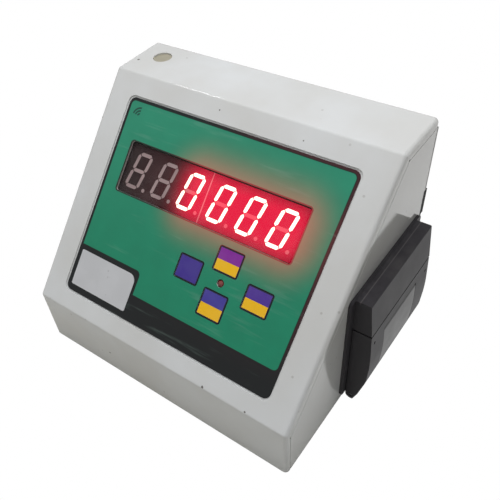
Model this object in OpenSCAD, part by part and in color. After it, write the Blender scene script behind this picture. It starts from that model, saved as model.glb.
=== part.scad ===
// Bench weighing indicator: a wedge-shaped sheet steel case with a sloped
// membrane panel, six LED digits, four keys and a ticket printer on its right side.
// Case axes: x runs across from the case's middle, y back from the apron,
// z up from the floor. Every module is moved to the part's own origin by in_case().

/* [Case] */
// Width of the steel case
case_w = 214; // [200:1:240]
// Depth of the case from the apron to the rear panel
case_d = 164; // [160:1:180]
// Height of the case without its feet
case_h = 167; // [160:1:180]
// Height of the upright apron at the front
apron_h = 45; // [40:1:50]
// Depth of the flat top behind the slope
top_d = 43; // [36:1:48]
// Thickness of the case's steel sheet
sheet_t = 1.2; // [1:0.1:1.5]
// Radius of the soft bends along the cover's edges
edge_r = 3; // [2:0.5:4]
// Height of the rubber feet
foot_h = 3; // [2:0.5:6]

/* [Panel] */
// Width of the printed label on the slope
label_w = 174; // [170:1:180]
// Distance from the apron fold to the label's lower edge
label_s = 14; // [12:0.5:16]
// Distance from the label's upper edge to the top fold
label_top_gap = 15.8; // [14:0.2:18]
// Offset of the label's middle from the case's middle
label_x = 0.5; // [-1:0.5:2]
// Thickness of the label film
label_t = 0.5; // [0.3:0.1:0.7]
// Depth of the pressed recess that holds the label
recess_d = 1; // [0.8:0.1:1.2]
// Width of the display window
window_w = 141; // [141:0.5:144]
// Height of the display window
window_h = 35; // [35:0.5:37]
// Height of the window's middle above the label's middle, up the slope
window_rise = 25.6; // [25:0.2:26.4]

/* [Digits] */
// Height of one digit
digit_h = 25.4; // [24:0.2:26]
// Width of one digit before it leans
digit_w = 12.6; // [12:0.2:13]
// Distance between neighbouring digits
digit_pitch = 22.6; // [22:0.1:23]
// Width of one segment bar
segment_w = 2.4; // [2:0.1:2.8]

/* [Keys] */
// Width of each key
key_w = 17.8; // [16:0.2:19]
// Height of the three shorter keys
key_h = 15.4; // [14:0.2:16]
// Height of the lowest key
tall_key_h = 17.2; // [16:0.2:17.6]
// How far a key travels when it is pressed
key_travel = 0.6; // [0.3:0.1:0.8]

/* [Printer] */
// Side length of the square printer flange
printer_w = 93.5; // [92:0.5:96]
// Distance from the printer flange to the rear of the case
printer_back = 5; // [4:0.5:8]
// Height of the flange's lower edge above the base plate
printer_rise = 6.2; // [6:0.2:8]
// Depth of the printer's paper tub behind the flange
tub_depth = 42; // [38:1:46]
// Diameter of the paper roll
roll_d = 34; // [24:1:35]
// Width of the paper roll
roll_w = 57; // [56:0.5:58]
// Diameter of the rubber platen roller
platen_d = 10; // [9:0.5:10]

/* [Rear] */
// Outside diameter of the load cell socket's threaded barrel
socket_d = 16; // [12:0.5:18]
// Height of the finned heat sink at the right rear edge
sink_h = 19.4; // [18:0.2:22]

/* [Hidden] */

// Sizes that every piece shares
over = 1;
seam = 0.5;
seat = 0.3;
slip = 0.3;
running = 0.05;
arc_steps = 6;
round_fn = 48;
small_fn = 24;
base_z = foot_h;
case_top = foot_h + case_h;
slope_z = base_z + apron_h;
slope_angle = atan2(case_h - apron_h, case_d - top_d);
side_x = case_w / 2;
slope_len = norm([case_d - top_d, case_h - apron_h]);
label_h = slope_len - label_s - label_top_gap;
label_mid = label_s + label_h / 2;
window_side_share = 0.406;
window_x = label_x + (window_side_share - 1 / 2) * (label_w - window_w);
window_s = label_mid + window_rise;

// The front cover's folded side flanges and the notches at their folds
apron_flange = 4.2;
slope_flange = 7;
top_flange = 6;
notch_r = 0.8;
lip_w = 5;
label_gap = 1.2;
label_r = 4.5;
recess_r = 5;

// The round hole in the top and the plug behind it
plug_hole_d = 13.5;
plug_d = 20;
plug_t = 2;
plug_x = -86.8;
plug_back = 18;

// Screws, nuts and holes
screw_r = 1.5;
screw_hole_r = 1.7;
head_r = 3;
head_h = 1.8;
slot_w = 0.8;
slot_d = 0.9;
slot_len = 4.2;
screw_len = 8;
nut_af = 5.5;
nut_h = 2.4;
panel_flange = 12;
flange_screw_inset = 6;
rear_screw_low = 14;
rear_screw_drop = 18;
rear_screw_gap = 5.3;
base_screw_front = 36;
base_screw_back = 34;

// Feet and ventilation
foot_d = 14;
foot_inset = 16;
vent_w = 3;
vent_h = 26;
vent_r = 1.4;
vent_pitch = 7;
vent_count = 9;
vent_x = -65;
vent_drop = 30;
vent_z = case_top - vent_drop;

// The pane behind the window opening
pane_gap = 0.15;
pane_r = 1.8;
rim_t = 1;
rim_w = 2.6;

// The two digit modules
module_h = 34;
module_t = 8;
module_margin = 1.8;
module_w = 3 * digit_pitch + module_margin;
module_gap = 0.2;
module_shift = 1.6;
module_drop = 0.3;
module_x = window_x - module_shift;
module_s = window_s - module_drop;
digit_lean = 10;
segment_gap = 0.35;
segment_t = 0.4;
dot_r = 1.3;
dot_dx = 3.6;
lit_digits = 4;

// Levels on the slope, measured outward from its surface
label_top = label_t - recess_d;
pan_back = -recess_d - sheet_t;
module_face = pan_back - rim_t - seat;
board_face = module_face - module_t;
board_t = 1.6;
board_back = board_face - board_t;

// The display board and the studs that carry it
stud_inset = 8;
stud_below = 40;
stud_above = 51;
stud_x = label_w / 2 - stud_inset;
stud_low_s = label_mid - stud_below;
stud_high_s = label_mid + stud_above;
stud_end = 4;
board_edge = 6;
board_w = 2 * (stud_x + board_edge);
board_low_s = stud_low_s - board_edge;
board_high_s = stud_high_s + board_edge;
board_r = 2;
sleeve_r = 3;
pan_hole_gap = 0.3;

// Keys, their places on the slope and their switches
cluster_shift = 29;
cluster_drop = 20.3;
cluster_x = label_x + cluster_shift;
cluster_s = label_mid - cluster_drop;
upper_key_rise = 14.7;
lower_key_drop = 14.6;
left_key_reach = 25;
right_key_reach = 27.6;
key_gap = 0.3;
key_r = 1;
key_body_h = 3;
key_rim_w = 1.2;
key_stem_r = 2.2;
key_stem_h = 2.8;
switch_w = 6;
switch_h = 3.5;
plunger_r = 1.7;
plunger_into = 1.5;
plunger_room = 0.5;
plunger_bore_h = plunger_into + key_travel + plunger_room;

// The status lamp
led_r = 2.3;
led_body_h = 3.4;
led_flange_r = 2.8;
led_flange_h = 1;
led_below_label = 2.1;
led_s_offset = 0.4;
led_lead = 0.5;
led_lead_dx = 1.27;
led_spacer_wall = 0.6;

// The blank plate on the label
plate_w = 51;
plate_h = 26;
plate_t = 0.3;
plate_side_gap = 3.8;
plate_low_gap = 4.8;
plate_x = label_x - label_w / 2 + plate_side_gap + plate_w / 2;
plate_s = label_s + plate_low_gap + plate_h / 2;
plate_r = 1;
plate_big_r = 5.5;

// The main board and what stands on it
main_w = 90;
main_d = 64;
main_x = 14;
main_y = 12;
main_up = 8;
spacer_r = 3;
main_inset = 6;
tallest_chip = 9;
tallest_cap = 14;
header_w = 24;
header_d = 9;
header_h = 6;
header_rise = 22;
// Chips as [x, y, width, depth, height] in shares of their board and of the tallest chip
chip_shares = [[-0.29, 0.19, 0.155, 0.22, 0.33], [-0.07, 0.2, 0.22, 0.16, 0.44],
    [0.2, 0.19, 0.2, 0.19, 0.38], [-0.29, 0.69, 0.27, 0.28, 1], [-0.04, 0.66, 0.11, 0.34, 0.89],
    [0.39, 0.34, 0.13, 0.13, 0.33], [0.42, 0.66, 0.09, 0.31, 0.89]];
display_chip_shares = [[-0.24, 0.27, 0.05, 0.23, 0.39], [0.05, 0.69, 0.155, 0.09, 0.39],
    [-0.18, 0.69, 0.155, 0.09, 0.39]];
// Capacitors as [x, y, radius, height] in shares of the board and of the tallest capacitor
cap_shares = [[0.13, 0.75, 0.36, 1], [0.28, 0.78, 0.29, 0.86], [0.29, 0.56, 0.21, 0.64]];
ribbon_w = 20;
ribbon_t = 1;
ribbon_lead = 8;

// Transformer and battery
core_w = 52;
core_d = 26;
core_h = 44;
core_x = 14;
coil_d = 40;
core_back = 16;
core_y = case_d - core_back - coil_d / 2;
core_foot_t = 1.2;
core_foot_w = 66;
battery_w = 43;
battery_d = 97;
battery_h = 52;
battery_x = -60;
battery_back = 13;
battery_y = case_d - battery_back - battery_d / 2;
battery_r = 2;
tab_w = 6;
tab_h = 5;
strap_w = 16;
strap_t = 1;
strap_foot = 9;

// Heat sink of the voltage regulator, at the right rear edge
sink_w = 31;
sink_d = 6.6;
sink_base = 2.3;
sink_sunk = 2.3;
sink_fin = 1.4;
sink_fins = 6;
sink_fins_in = 3;
sink_drop = 62;
sink_z = case_top - sink_drop;

// Power inlet beside the heat sink
inlet_w = 48;
inlet_h = 22.4;
inlet_t = 3.1;
inlet_x = 49;
rear_drop = 61.3;
inlet_z = case_top - rear_drop;
inlet_body_w = 27;
inlet_body_h = 19.8;
inlet_body_d = 22;
inlet_mouth_w = 24.2;
inlet_mouth_h = 16.6;
inlet_mouth_d = 17;
inlet_pin_w = 2;
inlet_pin_h = 4;
inlet_pin_len = 11.5;
inlet_pin_dx = 7;
inlet_pin_rise = 2.6;
inlet_screw_dx = 20;

// Rocker switch on the rear
switch_x = 8;
switch_z = case_top - rear_drop;
bezel_w = 30;
bezel_h = 22;
bezel_t = 2;
housing_w = 26.6;
housing_h = 18.6;
housing_d = 20;
housing_wall = 1.2;
rocker_w = 22.6;
rocker_h = 15;
rocker_tilt = 10;
rocker_pin_r = 1.5;
rocker_axle_in = 3.2;
rocker_flat = 5.5;

// Fuse holder on the rear
fuse_x = -20;
fuse_z = case_top - rear_drop;
fuse_nut_r = 9;
fuse_nut_t = 2.4;
fuse_r = 6;
fuse_len = 32;
fuse_cap_r = 6.6;
fuse_cap_h = 9;
fuse_plug_r = 4;
fuse_plug_h = 8;
fuse_slot_w = 1.6;
fuse_slot_d = 1.4;

// Load cell socket and serial socket on the rear
socket_x = -30;
socket_rise = 49;
socket_z = base_z + socket_rise;
socket_flange = 24;
socket_flange_t = 2;
socket_len = 9;
socket_bore_r = 6.2;
socket_pin_r = 0.6;
socket_pin_len = 3;
socket_pin_ring = 4;
socket_pins = 7;
socket_nut_w = 22;
socket_nut_t = 3;
socket_body_len = 8;
serial_x = 20;
serial_z = base_z + socket_rise;
serial_w = 31;
serial_h = 12.5;
serial_t = 1;
shell_w = 16.9;
shell_h = 8.3;
shell_len = 5.8;
shell_lean_share = 0.1;
serial_back_d = 9;
hex_r = 2.7;
hex_len = 5;
hex_dx = 12.5;
hex_bore_r = 1.2;
hex_bore_len = 4.5;
pin_hole_r = 0.5;
pin_hole_pitch = 2.77;
pin_row = 1.42;

// Printer: distances out from the side panel and heights above the flange's lower edge
flange_t = 2;
flange_r = 3.5;
printer_y = case_d - printer_back - printer_w;
printer_z = base_z + printer_rise;
body_front = 5;
body_rear = 7;
body_wall = 2;
body_y0 = printer_y + body_front;
body_y1 = printer_y + printer_w - body_rear;
body_mid = (body_y0 + body_y1) / 2;
parting_rise = 67.3;
parting_z = printer_z + parting_rise;
slot_gap = 1.2;
cover_step = 0.3;
cover_top = printer_z + printer_w - cover_step;
cover_out = 12;
parting_out = 14.8;
belly_out = 16.5;
belly_rise = 40.8;
belly_z = printer_z + belly_rise;
low_out = 15.3;
low_rise = 20.8;
low_z = printer_z + low_rise;
chin_out = 11;
chin_rise = 4.3;
chin_z = printer_z + chin_rise;
door_skin = 1.6;
door_back_gap = 0.4;
back_out = flange_t + door_back_gap;
barrel_r = 3.9;
barrel_turn = 65;
hinge_drop = 0.3;
hinge_out = back_out + barrel_r;
hinge_z = printer_z - hinge_drop;
door_bends = [0, 150, 30, 8, 0];
hinge_pin_r = 1;
ear_r = 2;
ear_w = 3.6;
ear_gap = 0.5;
barrel_cut = 1.4;
tub_in = 2.5;
tub_low_in = 7.8;
tub_top_in = 5.9;
tub_y0 = body_y0 + tub_in;
tub_y1 = body_y1 - tub_in;
tub_z0 = printer_z + tub_low_in;
tub_z1 = printer_z + printer_w - tub_top_in;
tub_wall = 2;
clamp_w = 20;
clamp_t = 1.5;
clamp_reach = 10;
dimple_r = 1.1;
dimple_d = 0.8;
dimple_dy = 36.2;
dimple_rise = 58.5;
dimple_z = printer_z + dimple_rise;

// The latch flap in the paper door
latch_w = 45.4;
latch_shift = 0.8;
latch_low = 22.4;
latch_high = 59.4;
latch_y0 = body_mid - latch_shift - latch_w / 2;
latch_y1 = latch_y0 + latch_w;
latch_z0 = printer_z + latch_low;
latch_z1 = printer_z + latch_high;
latch_gap = 0.3;
latch_r = 2.2;
latch_pin_r = 1;
latch_roll_r = 3.1;
latch_pin_z = latch_z1 - latch_gap - latch_roll_r;
latch_pin_out = door_out_at(latch_pin_z) - latch_roll_r;
knuckle_r = 2;
rib_w = 2;
rib_gap = 0.4;
rib_drop = 4;
rib_rise = 1.5;
lug_w = 4;

// Platen, gears, motor and print head
platen_out = 5.8;
platen_drop = 5.9;
platen_z = parting_z - platen_drop;
platen_len = 59;
shaft_r = 2;
boss_r = 3.4;
boss_len = 3.4;
gear_module = 0.5;
platen_teeth = 18;
idler_teeth = 30;
pinion_teeth = 12;
gear_w = 2.8;
gear_gap = 0.4;
gear_backlash = 0.12;
tip_share = 0.9;
root_share = 1.2;
idler_turn = 180;
pinion_turn = 125;
idler_hub_r = 1.5;
cheek_t = 0.8;
cheek_gap = 0.25;
cheek_y = body_mid + platen_len / 2 + cheek_gap;
gear_y = cheek_y + cheek_t + gear_gap;
chassis_back = 7;
chassis_t = 1;
chassis_rise = 51;
chassis_low = printer_z + chassis_rise;
chassis_high = tub_z1 - tub_wall - seat;
motor_r = 7.5;
motor_len = 13;
motor_shaft_r = 1;
head_face_gap = 0.3;
head_t = 3;
head_low = 12;
head_high = 11;
head_len = 58.6;
spring_r = 2.2;
spring_wall = 0.6;
spring_dy = 15;
tear_t = 0.5;
tear_h = 6;
tear_tooth = 1.5;
roll_bore_r = 5;
roll_back = 18;

// The part's origin is the middle of its box, at the floor
rear_proud = max(socket_flange_t + socket_len, fuse_nut_t + seat + fuse_cap_h);
door_reach = max([for (p = rounded(door_outer(0), door_bends)) p.x]);
origin_x = door_reach / 2;
origin_y = (case_d + rear_proud) / 2;

module in_case() translate([-origin_x, -origin_y, 0]) children();
module on_slope() translate([0, 0, slope_z]) rotate([slope_angle, 0, 0]) children();
module on_rear(x, z) translate([x, case_d, z]) rotate([-90, 0, 0]) children();
module along_x(x0, x1) translate([x0, 0, 0]) rotate([90, 0, 90]) linear_extrude(x1 - x0) children();
module along_y(y0, y1) translate([0, y1, 0]) rotate([90, 0, 0]) linear_extrude(y1 - y0) children();
module beside(out, z) translate([side_x + out, 0, z]) children();
module rod_y(y0, y1, r) translate([0, y0, 0]) rotate([-90, 0, 0])
    cylinder(h = y1 - y0, r = r, $fn = round_fn);

function unit(v) = v / norm(v);
function near_turn(a) = a > 180 ? a - 360 : a < -180 ? a + 360 : a;
function corner(a, b, c, r, n) = r == 0 ? [b] :
    let (u = unit(a - b), v = unit(c - b), half = acos(u * v) / 2,
        m = b + unit(u + v) * r / sin(half), s = b + u * r / tan(half), e = b + v * r / tan(half),
        start = atan2(s.y - m.y, s.x - m.x), sweep = near_turn(atan2(e.y - m.y, e.x - m.x) - start))
    [for (i = [0:n]) m + r * [cos(start + sweep * i / n), sin(start + sweep * i / n)]];
function rounded(p, r) = let (k = len(p)) [for (i = [0:k - 1])
    each corner(p[(i + k - 1) % k], p[i], p[(i + 1) % k], is_list(r) ? r[i] : r, arc_steps)];
function box_points(w, h) = [[-w, -h] / 2, [w, -h] / 2, [w, h] / 2, [-w, h] / 2];
module slab(w, h, t, r) linear_extrude(t) polygon(rounded(box_points(w, h), r));
module block(w, d, h) translate([-w / 2, -d / 2, 0]) cube([w, d, h]);

// Side view of the case, drawn in by the given distances from each face
function case_points(front, slope, top, rear, bottom) = [
    [front, base_z + bottom],
    [front, slope_z + (front * sin(slope_angle) - slope) / cos(slope_angle)],
    [(cos(slope_angle) * (case_top - top - slope_z) + slope) / sin(slope_angle), case_top - top],
    [case_d - rear, case_top - top], [case_d - rear, base_z + bottom]];

module screw(len) {
    translate([0, 0, -len]) cylinder(h = len, r = screw_r, $fn = small_fn);
    difference() {
        cylinder(h = head_h, r = head_r, $fn = small_fn);
        for (a = [0, 90]) rotate(a) translate([0, 0, head_h - slot_d])
            block(slot_len, slot_w, slot_d + over);
    }
}
module nut() difference() {
    cylinder(h = nut_h, d = nut_af / cos(30), $fn = 6);
    translate([0, 0, -over]) cylinder(h = nut_h + 2 * over, r = screw_r, $fn = small_fn);
}

// Soft-edged outer form that the front cover is folded to
module cover_form() {
    low = case_points(edge_r, edge_r, edge_r, edge_r, 0);
    hull() for (x = [edge_r - case_w / 2, case_w / 2 - edge_r]) {
        for (i = [1:3]) translate([x, low[i].x, low[i].y]) sphere(r = edge_r, $fn = small_fn);
        for (i = [0, 4]) translate([x, low[i].x, low[i].y])
            cylinder(h = edge_r, r = edge_r, $fn = small_fn);
    }
}
key_middle = [cluster_x, cluster_s];
key_places = [[0, upper_key_rise], [-left_key_reach, 0], [right_key_reach, 0], [0, -lower_key_drop]];
key_heights = [key_h, key_h, key_h, tall_key_h];
led_place = key_middle + [0, led_s_offset];

// Openings that run through the label and the panel under it
module panel_openings(deep) {
    for (i = [0:3]) translate(key_middle + key_places[i])
        translate([0, 0, -deep]) slab(key_w + 2 * key_gap, key_heights[i] + 2 * key_gap, deep, key_r);
    translate([led_place.x, led_place.y, -deep])
        cylinder(h = deep, r = led_r + pan_hole_gap, $fn = round_fn);
    translate([window_x, window_s, -deep]) slab(window_w, window_h, deep, pane_r);
}
module label_shape(grow, t, r) translate([label_x, label_s + label_h / 2, 0])
    slab(label_w + 2 * grow, label_h + 2 * grow, t, r);

module front_cover() color("gainsboro") in_case() {
    difference() {
        union() {
            difference() {
                cover_form();
                along_x(sheet_t - case_w / 2, case_w / 2 - sheet_t)
                    polygon(case_points(sheet_t, sheet_t, sheet_t, sheet_t, -over));
                along_x(-case_w, case_w)
                    polygon(case_points(apron_flange, slope_flange, top_flange, -over, -over));
            }
            on_slope() translate([0, 0, pan_back]) label_shape(label_gap + sheet_t, sheet_t, recess_r);
        }
        on_slope() translate([0, 0, -recess_d]) label_shape(label_gap, recess_d + over, recess_r);
        on_slope() translate([0, 0, over]) panel_openings(over - pan_back + over);
        for (i = [1, 2]) let (p = case_points(apron_flange, slope_flange, top_flange, 0, 0)[i])
            along_x(-case_w, case_w) translate(p) circle(r = notch_r, $fn = small_fn);
        translate([plug_x, case_d - plug_back, case_top - sheet_t - over])
            cylinder(h = sheet_t + 2 * over, d = plug_hole_d, $fn = round_fn);
    }
    on_slope() for (x = [-stud_x, stud_x], s = [stud_low_s, stud_high_s])
        translate([x, s, board_back - stud_end])
            cylinder(h = pan_back - board_back + stud_end, r = screw_r, $fn = small_fn);
}
module top_plug() color("wheat") in_case()
    translate([plug_x, case_d - plug_back, case_top - sheet_t - plug_t])
    cylinder(h = plug_t, d = plug_d, $fn = round_fn);

// One side sheet, flush with the cover's flanges, with a lip behind them and inward
// flanges along the rear and the bottom
module side_sheet(side) {
    out = side > 0 ? side_x - sheet_t : -side_x;
    edge = seam + lip_w;
    along_x(out, out + sheet_t) polygon(case_points(apron_flange + seam, slope_flange + seam,
        top_flange + seam, sheet_t + seam, 0));
    along_x(out - side * sheet_t, out + sheet_t - side * sheet_t) difference() {
        polygon(case_points(sheet_t + seat, sheet_t + seat, sheet_t + seat, 2 * sheet_t, sheet_t));
        polygon(case_points(apron_flange + edge, slope_flange + edge, top_flange + edge, -over, -over));
    }
}
module side_flanges(side) {
    w = panel_flange - sheet_t;
    x0 = side > 0 ? side_x - panel_flange : -side_x + sheet_t;
    rear_y = case_d - 2 * sheet_t;
    low_z = base_z + sheet_t;
    difference() {
        translate([x0, rear_y, low_z]) cube([w, sheet_t, case_h - top_flange - 2 * sheet_t]);
        for (z = rear_screw_z) translate([side * (side_x - flange_screw_inset), rear_y - over, z])
            rotate([-90, 0, 0]) cylinder(h = sheet_t + 2 * over, r = screw_hole_r, $fn = small_fn);
    }
    difference() {
        translate([x0, edge_r, low_z]) cube([w, case_d - sheet_t - edge_r, sheet_t]);
        for (y = base_screw_y) translate([side * (side_x - flange_screw_inset), y, low_z - over])
            cylinder(h = sheet_t + 2 * over, r = screw_hole_r, $fn = small_fn);
    }
}
rear_screw_z = [base_z + rear_screw_low, sink_z - sink_h / 2 - rear_screw_gap,
    case_top - rear_screw_drop];
base_screw_y = [base_screw_front, case_d / 2, case_d - base_screw_back];

module left_side_panel() color("gainsboro") in_case() {
    side_sheet(-1);
    side_flanges(-1);
}
module right_side_panel() color("gainsboro") in_case() {
    difference() {
        side_sheet(1);
        translate([side_x - sheet_t - over, tub_y0 - seat, tub_z0 - seat])
            cube([sheet_t + 2 * over, tub_y1 - tub_y0 + 2 * seat, tub_z1 - tub_z0 + 2 * seat]);
        sink_notch(0);
    }
    side_flanges(1);
}
// Room for the heat sink's lip at the right rear edge
module sink_notch(gap) translate([side_x - sheet_t - gap, case_d - sink_sunk - seat,
    sink_z - sink_h / 2 - seat]) cube([sheet_t + gap + over, sink_sunk + seat + over, sink_h + 2 * seat]);
module rear_panel() color("gainsboro") in_case() difference() {
    translate([-side_x, case_d - sheet_t, base_z])
        cube([2 * side_x, sheet_t, case_h - top_flange - seam]);
    sink_notch(seat);
    for (x = [-1, 1] * (side_x - flange_screw_inset), z = rear_screw_z)
        on_rear(x, z) translate([0, 0, -sheet_t - over])
            cylinder(h = sheet_t + 2 * over, r = screw_hole_r, $fn = small_fn);
    on_rear(inlet_x, inlet_z) translate([0, 0, -sheet_t - over])
        slab(inlet_body_w + 2 * seat, inlet_body_h + 2 * seat, sheet_t + 2 * over, 0);
    on_rear(switch_x, switch_z) translate([0, 0, -sheet_t - over])
        slab(housing_w + 2 * seat, housing_h + 2 * seat, sheet_t + 2 * over, 0);
    on_rear(fuse_x, fuse_z) translate([0, 0, -sheet_t - over])
        cylinder(h = sheet_t + 2 * over, r = fuse_r + seat, $fn = round_fn);
    on_rear(socket_x, socket_z) translate([0, 0, -sheet_t - over])
        cylinder(h = sheet_t + 2 * over, d = socket_d + 2 * seat, $fn = round_fn);
    on_rear(serial_x, serial_z) translate([0, 0, -sheet_t - over])
        slab(shell_w + 2 * seat, shell_h + 2 * seat, sheet_t + 2 * over, 0);
    for (i = [0:vent_count - 1]) on_rear(vent_x + i * vent_pitch, vent_z)
        translate([0, 0, -sheet_t - over]) slab(vent_w, vent_h, sheet_t + 2 * over, vent_r);
    for (x = [-inlet_screw_dx, inlet_screw_dx]) on_rear(inlet_x + x, inlet_z)
        translate([0, 0, -sheet_t - over])
            cylinder(h = sheet_t + 2 * over, r = screw_hole_r, $fn = small_fn);
}
module base_plate() color("gainsboro") in_case() difference() {
    translate([sheet_t - side_x, sheet_t + seat, base_z])
        cube([2 * (side_x - sheet_t), case_d - 2 * sheet_t - 2 * seat, sheet_t]);
    for (x = [-1, 1] * (side_x - flange_screw_inset), y = base_screw_y) translate([x, y, base_z - over])
        cylinder(h = sheet_t + 2 * over, r = screw_hole_r, $fn = small_fn);
    for (x = [-1, 1] * (side_x - foot_inset), y = [foot_inset, case_d - foot_inset])
        translate([x, y, base_z - over])
            cylinder(h = sheet_t + 2 * over, r = screw_hole_r, $fn = small_fn);
}
module rubber_feet() color("black") in_case()
    for (x = [-1, 1] * (side_x - foot_inset), y = [foot_inset, case_d - foot_inset])
        translate([x, y, 0]) {
        cylinder(h = foot_h, d = foot_d, $fn = round_fn);
        cylinder(h = foot_h + sheet_t, r = screw_r, $fn = small_fn);
    }
module case_screws() color("silver") in_case() for (x = [-1, 1] * (side_x - flange_screw_inset)) {
    for (y = base_screw_y) translate([x, y, base_z]) rotate([180, 0, 0]) screw(screw_len);
    for (z = rear_screw_z) on_rear(x, z) screw(screw_len);
    on_rear(inlet_x + sign(x) * inlet_screw_dx, inlet_z) translate([0, 0, inlet_t]) screw(screw_len);
}

module front_label() color("seagreen") in_case() on_slope() difference() {
    translate([0, 0, -recess_d]) label_shape(0, label_t, label_r);
    translate([0, 0, over]) panel_openings(over + recess_d + over);
}
module name_plate() color("whitesmoke") in_case() on_slope() translate([plate_x, plate_s, label_top])
    linear_extrude(plate_t)
        polygon(rounded(box_points(plate_w, plate_h), [plate_r, plate_r, plate_big_r, plate_r]));
module window_pane() color("dimgray", 0.35) in_case() on_slope() translate([window_x, window_s, 0]) {
    translate([0, 0, pan_back])
        slab(window_w - 2 * pane_gap, window_h - 2 * pane_gap, label_top - pan_back, pane_r);
    translate([0, 0, pan_back - rim_t]) slab(window_w + 2 * rim_w, window_h + 2 * rim_w, rim_t, pane_r);
}

// Segment bars: their middles as [x, y, 1 if upright], in the order a to g
bar_run = digit_w - segment_w;
bar_rise = (digit_h - segment_w) / 2;
bar_places = [[0, bar_rise, 0], [bar_run / 2, bar_rise / 2, 1], [bar_run / 2, -bar_rise / 2, 1],
    [0, -bar_rise, 0], [-bar_run / 2, -bar_rise / 2, 1], [-bar_run / 2, bar_rise / 2, 1], [0, 0, 0]];
function leaned(p) = [p.x + p.y * tan(digit_lean), p.y];
function bar_points(b) =
    let (half = (b[2] == 1 ? bar_rise : bar_run) / 2 - segment_gap, w = segment_w / 2,
        ring = [[-half, 0], [w - half, w], [half - w, w], [half, 0], [half - w, -w], [w - half, -w]])
    [for (p = ring) leaned(b[2] == 1 ? [b.x - p.y, b.y + p.x] : [b.x + p.x, b.y + p.y])];
module bar(i, t) linear_extrude(t) polygon(bar_points(bar_places[i]));
module dot(t) translate([bar_run / 2 + dot_dx, -digit_h / 2 + dot_r, 0])
    cylinder(h = t, r = dot_r, $fn = small_fn);
// Middles of the six digits, from left to right
digit_places = [for (m = [-1, 1],
    i = [-1:1]) [module_x + m * (module_w + module_gap) / 2 + i * digit_pitch, module_s]];
first_lit = len(digit_places) - lit_digits;

module digit_module(m) color("dimgray") in_case() on_slope() difference() {
    translate([module_x + m * (module_w + module_gap) / 2, module_s, board_face])
        slab(module_w, module_h, module_t, 0);
    for (d = [0:2]) let (place = digit_places[d + (m > 0 ? 3 : 0)])
        translate([place.x, place.y, module_face - segment_t]) {
            for (i = [0:6]) bar(i, segment_t + over);
            dot(segment_t + over);
        }
}
module left_digit_module() digit_module(-1);
module right_digit_module() digit_module(1);
module lit_segments() color("red") in_case() on_slope() for (d = [first_lit:5])
    translate([digit_places[d].x, digit_places[d].y, module_face - segment_t]) for (i = [0:5])
        bar(i, segment_t);
module unlit_segments() color("silver") in_case() on_slope() for (d = [0:5])
    translate([digit_places[d].x, digit_places[d].y, module_face - segment_t]) {
        for (i = d < first_lit ? [0:6] : [6:6]) bar(i, segment_t);
        dot(segment_t);
    }
module display_board() color("darkgreen") in_case() on_slope() difference() {
    translate([0, (board_low_s + board_high_s) / 2, board_back])
        slab(board_w, board_high_s - board_low_s, board_t, board_r);
    for (x = [-stud_x, stud_x], s = [stud_low_s, stud_high_s]) translate([x, s, board_back - over])
        cylinder(h = board_t + 2 * over, r = screw_r + running, $fn = small_fn);
}
module at_studs(level) in_case() on_slope() for (x = [-stud_x, stud_x], s = [stud_low_s, stud_high_s])
    translate([x, s, level]) children();
module board_sleeves() color("silver") at_studs(board_face) difference() {
    cylinder(h = pan_back - board_face, r = sleeve_r, $fn = small_fn);
    translate([0, 0, -over])
        cylinder(h = pan_back - board_face + 2 * over, r = screw_r + running, $fn = small_fn);
}
module board_nuts() color("silver") at_studs(board_back - nut_h) nut();

// Status lamp with its leads, and the tube that sets its height
led_seat = label_top - led_below_label - led_body_h;
module status_led() color("firebrick") in_case() on_slope() translate(led_place) {
    translate([0, 0, led_seat]) cylinder(h = led_body_h, r = led_r, $fn = round_fn);
    translate([0, 0, led_seat + led_body_h]) sphere(r = led_r, $fn = round_fn);
    translate([0, 0, led_seat - led_flange_h])
        cylinder(h = led_flange_h, r = led_flange_r, $fn = round_fn);
    for (x = [-led_lead_dx, led_lead_dx]) translate([x, 0, board_face])
        block(led_lead, led_lead, led_seat - led_flange_h - board_face);
}
module led_spacer() color("black") in_case() on_slope()
    translate([led_place.x, led_place.y, board_face]) difference() {
    h = led_seat - led_flange_h - board_face;
    cylinder(h = h, r = led_flange_r, $fn = round_fn);
    translate([0, 0, -over])
        cylinder(h = h + 2 * over, r = led_flange_r - led_spacer_wall, $fn = round_fn);
}

// A key: printed cap, retaining rim under the panel and a stem to its switch
module key_cap(i, shade) color(shade) in_case() on_slope() translate(key_middle + key_places[i]) {
    translate([0, 0, label_top - key_body_h]) slab(key_w, key_heights[i], key_body_h, key_r);
    translate([0, 0, label_top - key_body_h])
        slab(key_w + 2 * key_rim_w, key_heights[i] + 2 * key_rim_w,
            pan_back - seat - label_top + key_body_h, key_r);
    translate([0, 0, label_top - key_body_h - key_stem_h])
        cylinder(h = key_stem_h, r = key_stem_r, $fn = round_fn);
}
module upper_key() key_cap(0, "darkviolet");
module left_key() key_cap(1, "indigo");
module right_key() key_cap(2, "slateblue");
module lower_key() key_cap(3, "gold");
stem_end = label_top - key_body_h - key_stem_h;
switch_top = board_face + switch_h;
module plunger(i) color("ivory") in_case() on_slope() translate(key_middle + key_places[i])
    translate([0, 0, switch_top - plunger_into])
        cylinder(h = stem_end - switch_top + plunger_into, r = plunger_r, $fn = small_fn);
module upper_plunger() plunger(0);
module left_plunger() plunger(1);
module right_plunger() plunger(2);
module lower_plunger() plunger(3);
module key_switches() color("black") in_case() on_slope() for (p = key_places)
    translate(key_middle + p) difference() {
        translate([0, 0, board_face]) block(switch_w, switch_w, switch_h);
        translate([0, 0, switch_top - plunger_bore_h])
            cylinder(h = plunger_bore_h + over, r = plunger_r + slip, $fn = small_fn);
    }

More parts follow.
